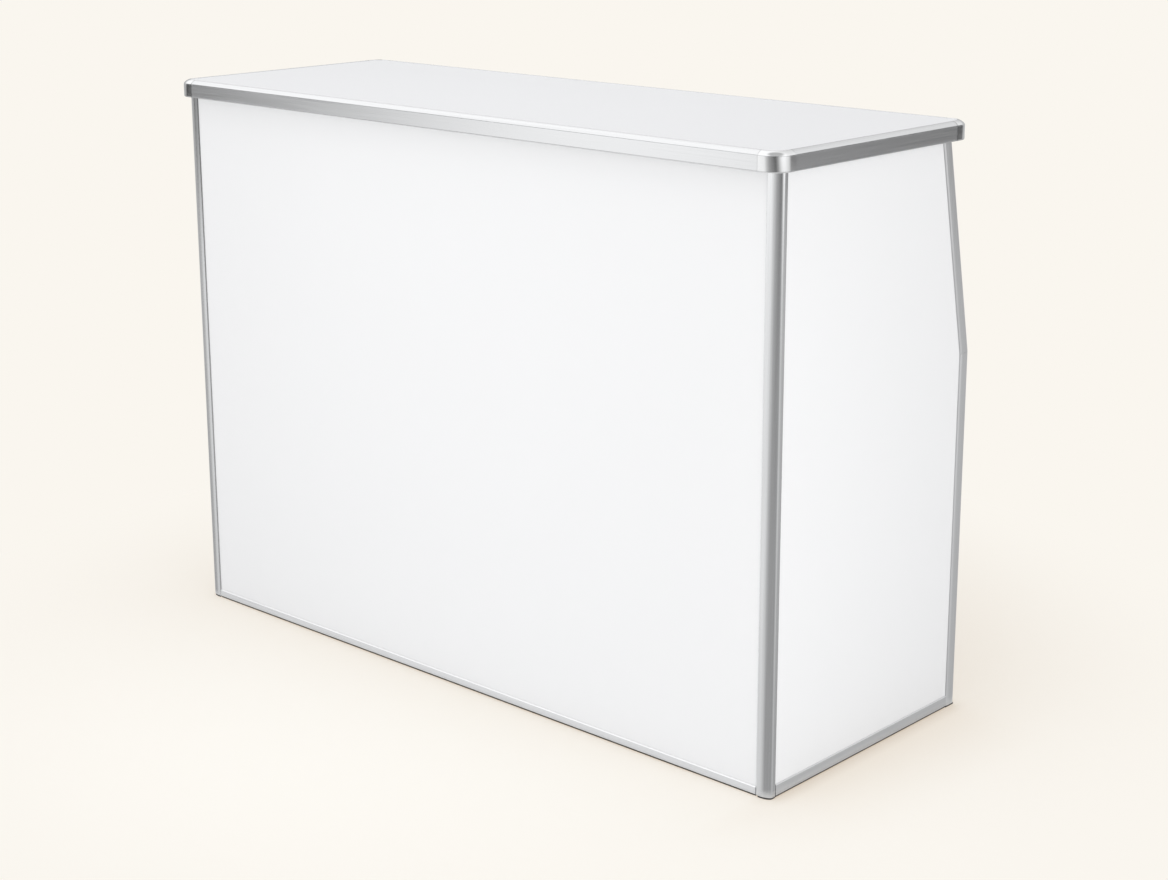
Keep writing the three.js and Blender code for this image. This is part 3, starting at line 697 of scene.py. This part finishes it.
def stripSection(depth, top):
    low, small = gapShadeStrip["floorGap"], gapShadeStrip["round"]
    middle = small * gapShadeStrip["roundMiddle"]
    return (
        (0.0, top), (0.0, low + small), (middle, low + middle), (small, low),
        (depth - small, low), (depth - middle, low + middle), (depth, low + small), (depth, top),
    )


def makeGapShadeStrip(name, body, rail, run, outward):
    low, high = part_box(rail)
    across = 1 - run
    face = high[across] if outward > 0 else low[across]
    depth = gapShadeStrip["wingDepth"] if run else gapShadeStrip["frontDepth"]
    shape = bmesh.new()
    ends = []
    for place in (low[run] + gapShadeStrip["endGap"], high[run] - gapShadeStrip["endGap"]):
        ring = []
        for inward, height in stripSection(depth, low.z):
            corner = Vector((0.0, 0.0, height))
            corner[run] = place
            corner[across] = face - outward * (gapShadeStrip["setback"] + inward)
            ring.append(shape.verts.new(corner))
        ends.append(ring)
    count = len(ends[0])
    for k in range(count):
        after = (k + 1) % count
        shape.faces.new((ends[0][k], ends[0][after], ends[1][after], ends[1][k]))
    for ring in ends:
        shape.faces.new(ring)
    bmesh.ops.recalc_face_normals(shape, faces=shape.faces)
    mesh = bpy.data.meshes.new(name)
    shape.to_mesh(mesh)
    shape.free()
    mesh.materials.append(finishes["rubber"])
    piece = bpy.data.objects.new(name, mesh)
    scene.collection.objects.link(piece)
    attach(piece, body)


makeGapShadeStrip("front_base_strip", "front_panel", "front_bottom_rail", 0, -1.0)
makeGapShadeStrip("right_base_strip", "right_wing", "right_wing_bottom_rail", 1, 1.0)
makeGapShadeStrip("left_base_strip", "left_wing", "left_wing_bottom_rail", 1, -1.0)
print("base strips under the bottom rails")


# Screws and rivets in rows, one mesh for each body
screwHead = {"radius": 0.0028, "rise": 0.0005, "recess": 0.0006, "sides": 16}
rivetHead = {"radius": 0.0032, "rise": 0.0013, "recess": 0.0, "sides": 16}
headDome = {
    # shares of the radius and the rise, from the middle out
    "rings": ((0.32, 1.0), (0.62, 0.92), (0.88, 0.55), (1.0, 0.0), (1.0, -0.3)),
    "armEvery": 4,  # sides from one arm of the cross recess to the next
    "armReach": 1.6,
}


def headMesh(name, head):
    shape = bmesh.new()
    rings = []
    for number, (share, height) in enumerate(headDome["rings"]):
        ring = []
        for k in range(head["sides"]):
            angle = 2 * math.pi * k / head["sides"]
            arm = number == 0 and k % headDome["armEvery"] == 0
            z = head["rise"] * height - (head["recess"] if arm else 0.0)
            reach = head["radius"] * (share * headDome["armReach"] if arm else share)
            ring.append(shape.verts.new((reach * math.cos(angle), reach * math.sin(angle), z)))
        rings.append(ring)
    middle = shape.verts.new((0.0, 0.0, head["rise"] - head["recess"]))
    for k in range(head["sides"]):
        after = (k + 1) % head["sides"]
        shape.faces.new((middle, rings[0][k], rings[0][after]))
        for inner, outer in zip(rings, rings[1:]):
            shape.faces.new((inner[k], outer[k], outer[after], inner[after]))
    shape.faces.new(reversed(rings[-1]))
    bmesh.ops.recalc_face_normals(shape, faces=shape.faces)
    mesh = bpy.data.meshes.new(name)
    shape.to_mesh(mesh)
    shape.free()
    for face in mesh.polygons:
        face.use_smooth = True
    pattern = bpy.data.objects.new(name, mesh)
    scene.collection.objects.link(pattern)
    return pattern


def rowTree():
    tree = bpy.data.node_groups.new("fastenerRow", "GeometryNodeTree")
    for label, kind in (
        ("Geometry", "Geometry"), ("Head", "Object"), ("Finish", "Material"), ("Count", "Int"),
        ("Start", "Vector"), ("Step", "Vector"), ("Facing", "Vector"), ("Seed", "Int"),
    ):
        tree.interface.new_socket(label, in_out="INPUT", socket_type="NodeSocket" + kind)
    tree.interface.new_socket("Geometry", in_out="OUTPUT", socket_type="NodeSocketGeometry")
    start = tree.nodes.new("NodeGroupInput")
    end = tree.nodes.new("NodeGroupOutput")
    line = addNode(tree, "GeometryNodeMeshLine")
    head = addNode(tree, "GeometryNodeObjectInfo")
    facing = addNode(tree, "FunctionNodeAlignRotationToVector", axis="Z")
    chance = addNode(tree, "FunctionNodeRandomValue", data_type="FLOAT")
    spin = addNode(tree, "FunctionNodeAxisAngleToRotation")
    turned = addNode(tree, "FunctionNodeRotateRotation", rotation_space="LOCAL")
    place = addNode(tree, "GeometryNodeInstanceOnPoints")
    real = addNode(tree, "GeometryNodeRealizeInstances")
    finish = addNode(tree, "GeometryNodeSetMaterial")
    join = addNode(tree, "GeometryNodeJoinGeometry")
    chance.inputs[3].default_value = 2 * math.pi  # each head is turned by chance
    wire(tree, start.outputs["Count"], line.inputs["Count"])
    wire(tree, start.outputs["Start"], line.inputs["Start Location"])
    wire(tree, start.outputs["Step"], line.inputs["Offset"])
    wire(tree, start.outputs["Head"], head.inputs["Object"])
    wire(tree, start.outputs["Facing"], facing.inputs["Vector"])
    wire(tree, start.outputs["Seed"], chance.inputs["Seed"])
    wire(tree, chance.outputs[1], spin.inputs["Angle"])
    wire(tree, facing.outputs[0], turned.inputs["Rotation"])
    wire(tree, spin.outputs[0], turned.inputs["Rotate By"])
    wire(tree, line.outputs[0], place.inputs["Points"])
    wire(tree, head.outputs["Geometry"], place.inputs["Instance"])
    wire(tree, turned.outputs[0], place.inputs["Rotation"])
    wire(tree, start.outputs["Geometry"], join.inputs[0])
    wire(tree, place.outputs[0], join.inputs[0])
    wire(tree, join.outputs[0], real.inputs[0])
    wire(tree, real.outputs[0], finish.inputs["Geometry"])
    wire(tree, start.outputs["Finish"], finish.inputs["Material"])
    wire(tree, finish.outputs[0], end.inputs[0])
    return tree


hingeScrews = {
    "wingCount": 12,
    "wingMargin": 0.032,
    "wingShares": (0.24, 0.74),  # across the box of the post leaf and of the wing leaf
    "shelfCount": 9,
    "shelfMargin": 0.035,
    "shelfShares": (0.30, 0.70),  # the same on the rail leaf and the board leaf
    "leafThick": 0.002,
}
cleatRivets = {"count": 4, "margin": 0.022, "drop": 0.0125, "webThick": 0.003}
rimScrews = {"count": 7, "margin": 0.05, "edgeIn": 0.009}


def leafRow(node, run, across, share, count, margin):
    low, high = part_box(node)
    start = Vector((0.0, 0.0, 0.0))
    start[run] = low[run] + margin
    start[across] = low[across] + (high[across] - low[across]) * share
    step = Vector((0.0, 0.0, 0.0))
    step[run] = (high[run] - low[run] - 2 * margin) / (count - 1)
    return start, step


def wingLeafRow(node, side, share, plate):
    start, step = leafRow(node, 2, 1, share, hingeScrews["wingCount"], hingeScrews["wingMargin"])
    start.x = side * plate
    return ("screw", hingeScrews["wingCount"], start, step, (-side, 0.0, 0.0))


def shelfLeafRow(node, share):
    start, step = leafRow(node, 0, 2, share, hingeScrews["shelfCount"], hingeScrews["shelfMargin"])
    start.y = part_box(node)[0].y + hingeScrews["leafThick"]  # back face of the leaf
    return ("screw", hingeScrews["shelfCount"], start, step, (0.0, 1.0, 0.0))


def cleatRow(node, side):
    start, step = leafRow(node, 1, 2, 0.0, cleatRivets["count"], cleatRivets["margin"])
    low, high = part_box(node)
    web = cleatRivets["webThick"]
    start.z = high.z - cleatRivets["drop"]
    start.x = (high.x - web) if side > 0 else (low.x + web)  # inner face of the web
    return ("rivet", cleatRivets["count"], start, step, (-side, 0.0, 0.0))


def rimRow(node, edge, inward):
    start, step = leafRow(node, 0, 1, 0.0, rimScrews["count"], rimScrews["margin"])
    start.y = edge + inward * rimScrews["edgeIn"]
    start.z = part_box(node)[0].z
    return ("screw", rimScrews["count"], start, step, (0.0, 0.0, -1.0))


def fastenerRows():
    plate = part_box("right_hinge_post_leaf")[1].x - hingeScrews["leafThick"]  # leaves' inner face
    postShare, wingShare = hingeScrews["wingShares"]
    railShare, boardShare = hingeScrews["shelfShares"]
    rows = {body: [] for body in frame["bodies"]}
    for side, name in ((1, "right"), (-1, "left")):
        rows["front_panel"].append(wingLeafRow(name + "_hinge_post_leaf", side, postShare, plate))
        wing = rows[name + "_wing"]
        wing.append(wingLeafRow(name + "_hinge_wing_leaf", side, wingShare, plate))
        wing.append(cleatRow(name + "_work_shelf_cleat", side))
        wing.append(cleatRow(name + "_lower_shelf_cleat", side))
    for name in ("work_shelf", "lower_shelf"):
        rows["front_panel"].append(shelfLeafRow(name + "_rail_leaf", railShare))
        rows[name].append(shelfLeafRow(name + "_board_leaf", boardShare))
    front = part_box("top_front_rail")[0].y
    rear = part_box("top_rear_rail")[1].y
    rows["bar_top"].append(rimRow("top_front_rail", front, 1.0))
    rows["bar_top"].append(rimRow("top_rear_rail", rear, -1.0))
    return rows


def makeFasteners():
    heads = {"screw": headMesh("screwHead", screwHead), "rivet": headMesh("rivetHead", rivetHead)}
    tree = rowTree()
    total = 0
    for body, rows in fastenerRows().items():
        if not rows:
            continue
        carrier = bpy.data.objects.new(body + "_carrier", bpy.data.meshes.new(body + "_carrier"))
        scene.collection.objects.link(carrier)
        for seed, (kind, count, start, step, facing) in enumerate(rows):
            modifier = carrier.modifiers.new("row", "NODES")
            modifier.node_group = tree
            setInputs(modifier, {
                "Head": heads[kind], "Finish": finishes["zinc"], "Count": count, "Start": start,
                "Step": step, "Facing": facing, "Seed": seed,
            })
            total += count
        graph = bpy.context.evaluated_depsgraph_get()
        mesh = bpy.data.meshes.new_from_object(carrier.evaluated_get(graph))
        piece = bpy.data.objects.new(body + "_fasteners", mesh)
        scene.collection.objects.link(piece)
        bpy.data.objects.remove(carrier)
        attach(piece, body)
    for head in heads.values():
        bpy.data.objects.remove(head)
    return total


print("fasteners:", makeFasteners())
